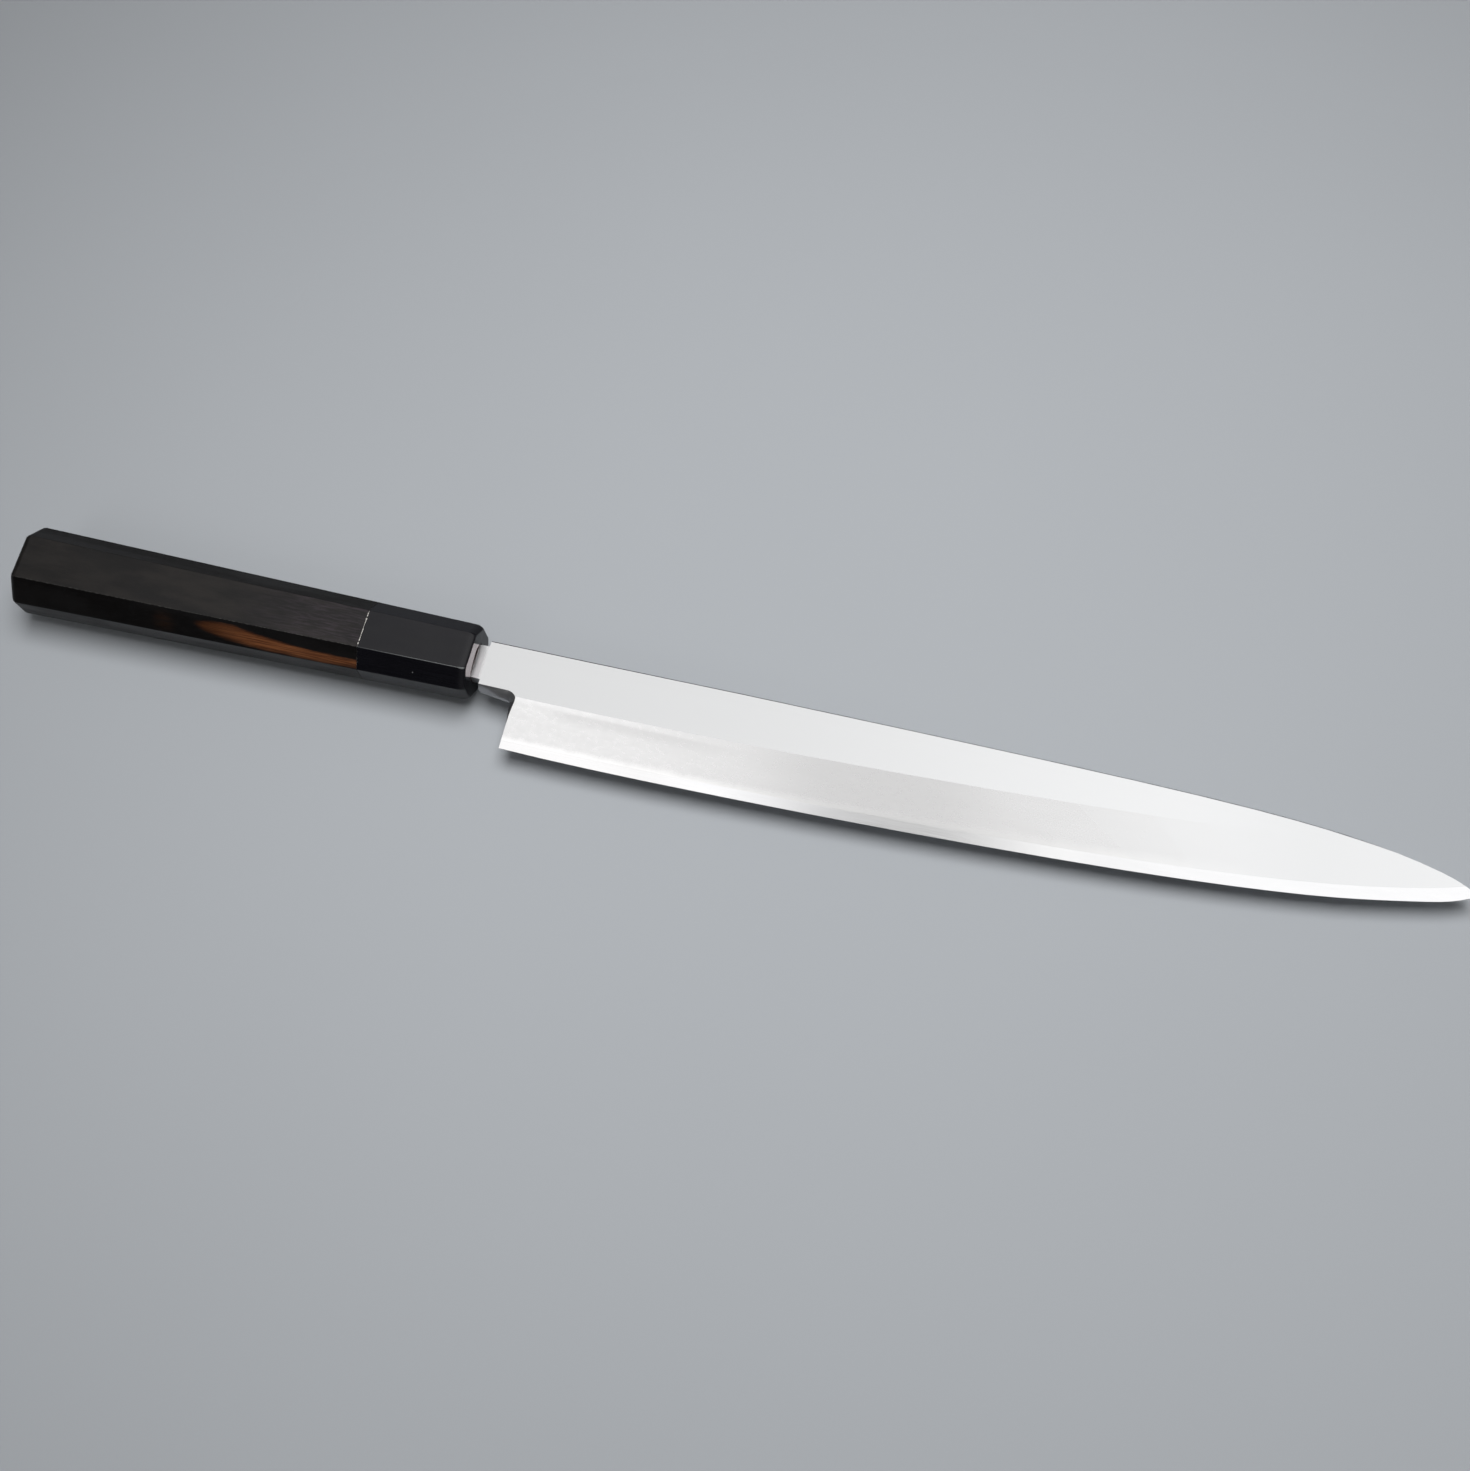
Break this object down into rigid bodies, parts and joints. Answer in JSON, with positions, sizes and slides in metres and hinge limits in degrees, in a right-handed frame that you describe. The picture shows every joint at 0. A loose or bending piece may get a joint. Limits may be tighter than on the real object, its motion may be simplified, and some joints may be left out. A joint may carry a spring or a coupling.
{
  "type": "yanagiba knife",
  "caption": "Single-bevel slicing knife: long laminated blade with a hollow-ground back, octagonal ferrule and tapered octagonal wooden handle.",
  "frame": {"origin": "on the knife's axis, at the middle of the ferrule's front face, where the tang enters the handle", "axes": "+X along the knife to the tip, +Y towards the spine, +Z out of the bevelled front side, with the knife lying on its back"},
  "size_m": [0.4504, 0.0383, 0.0212],
  "materials": {
    "cladding_iron": "satin ground soft iron, polished flat, hazy bevel",
    "hard_steel": "finely polished hard steel",
    "ebony": "oiled black wood with an orange-brown sapwood streak",
    "black_horn": "polished black horn",
    "dowel_wood": "plain turned wood",
    "pale_glue": "dry glue",
    "bedding_resin": "dull reddish brown resin"
  },
  "bodies": {
    "root": {"blade_cladding": "cladding_iron", "blade_core_steel": "hard_steel", "handle_body": "ebony", "ferrule": "black_horn", "tenon_dowel": "dowel_wood", "joint_glue_film": "pale_glue", "tang_bedding": "bedding_resin"}
  },
  "joints": []
}
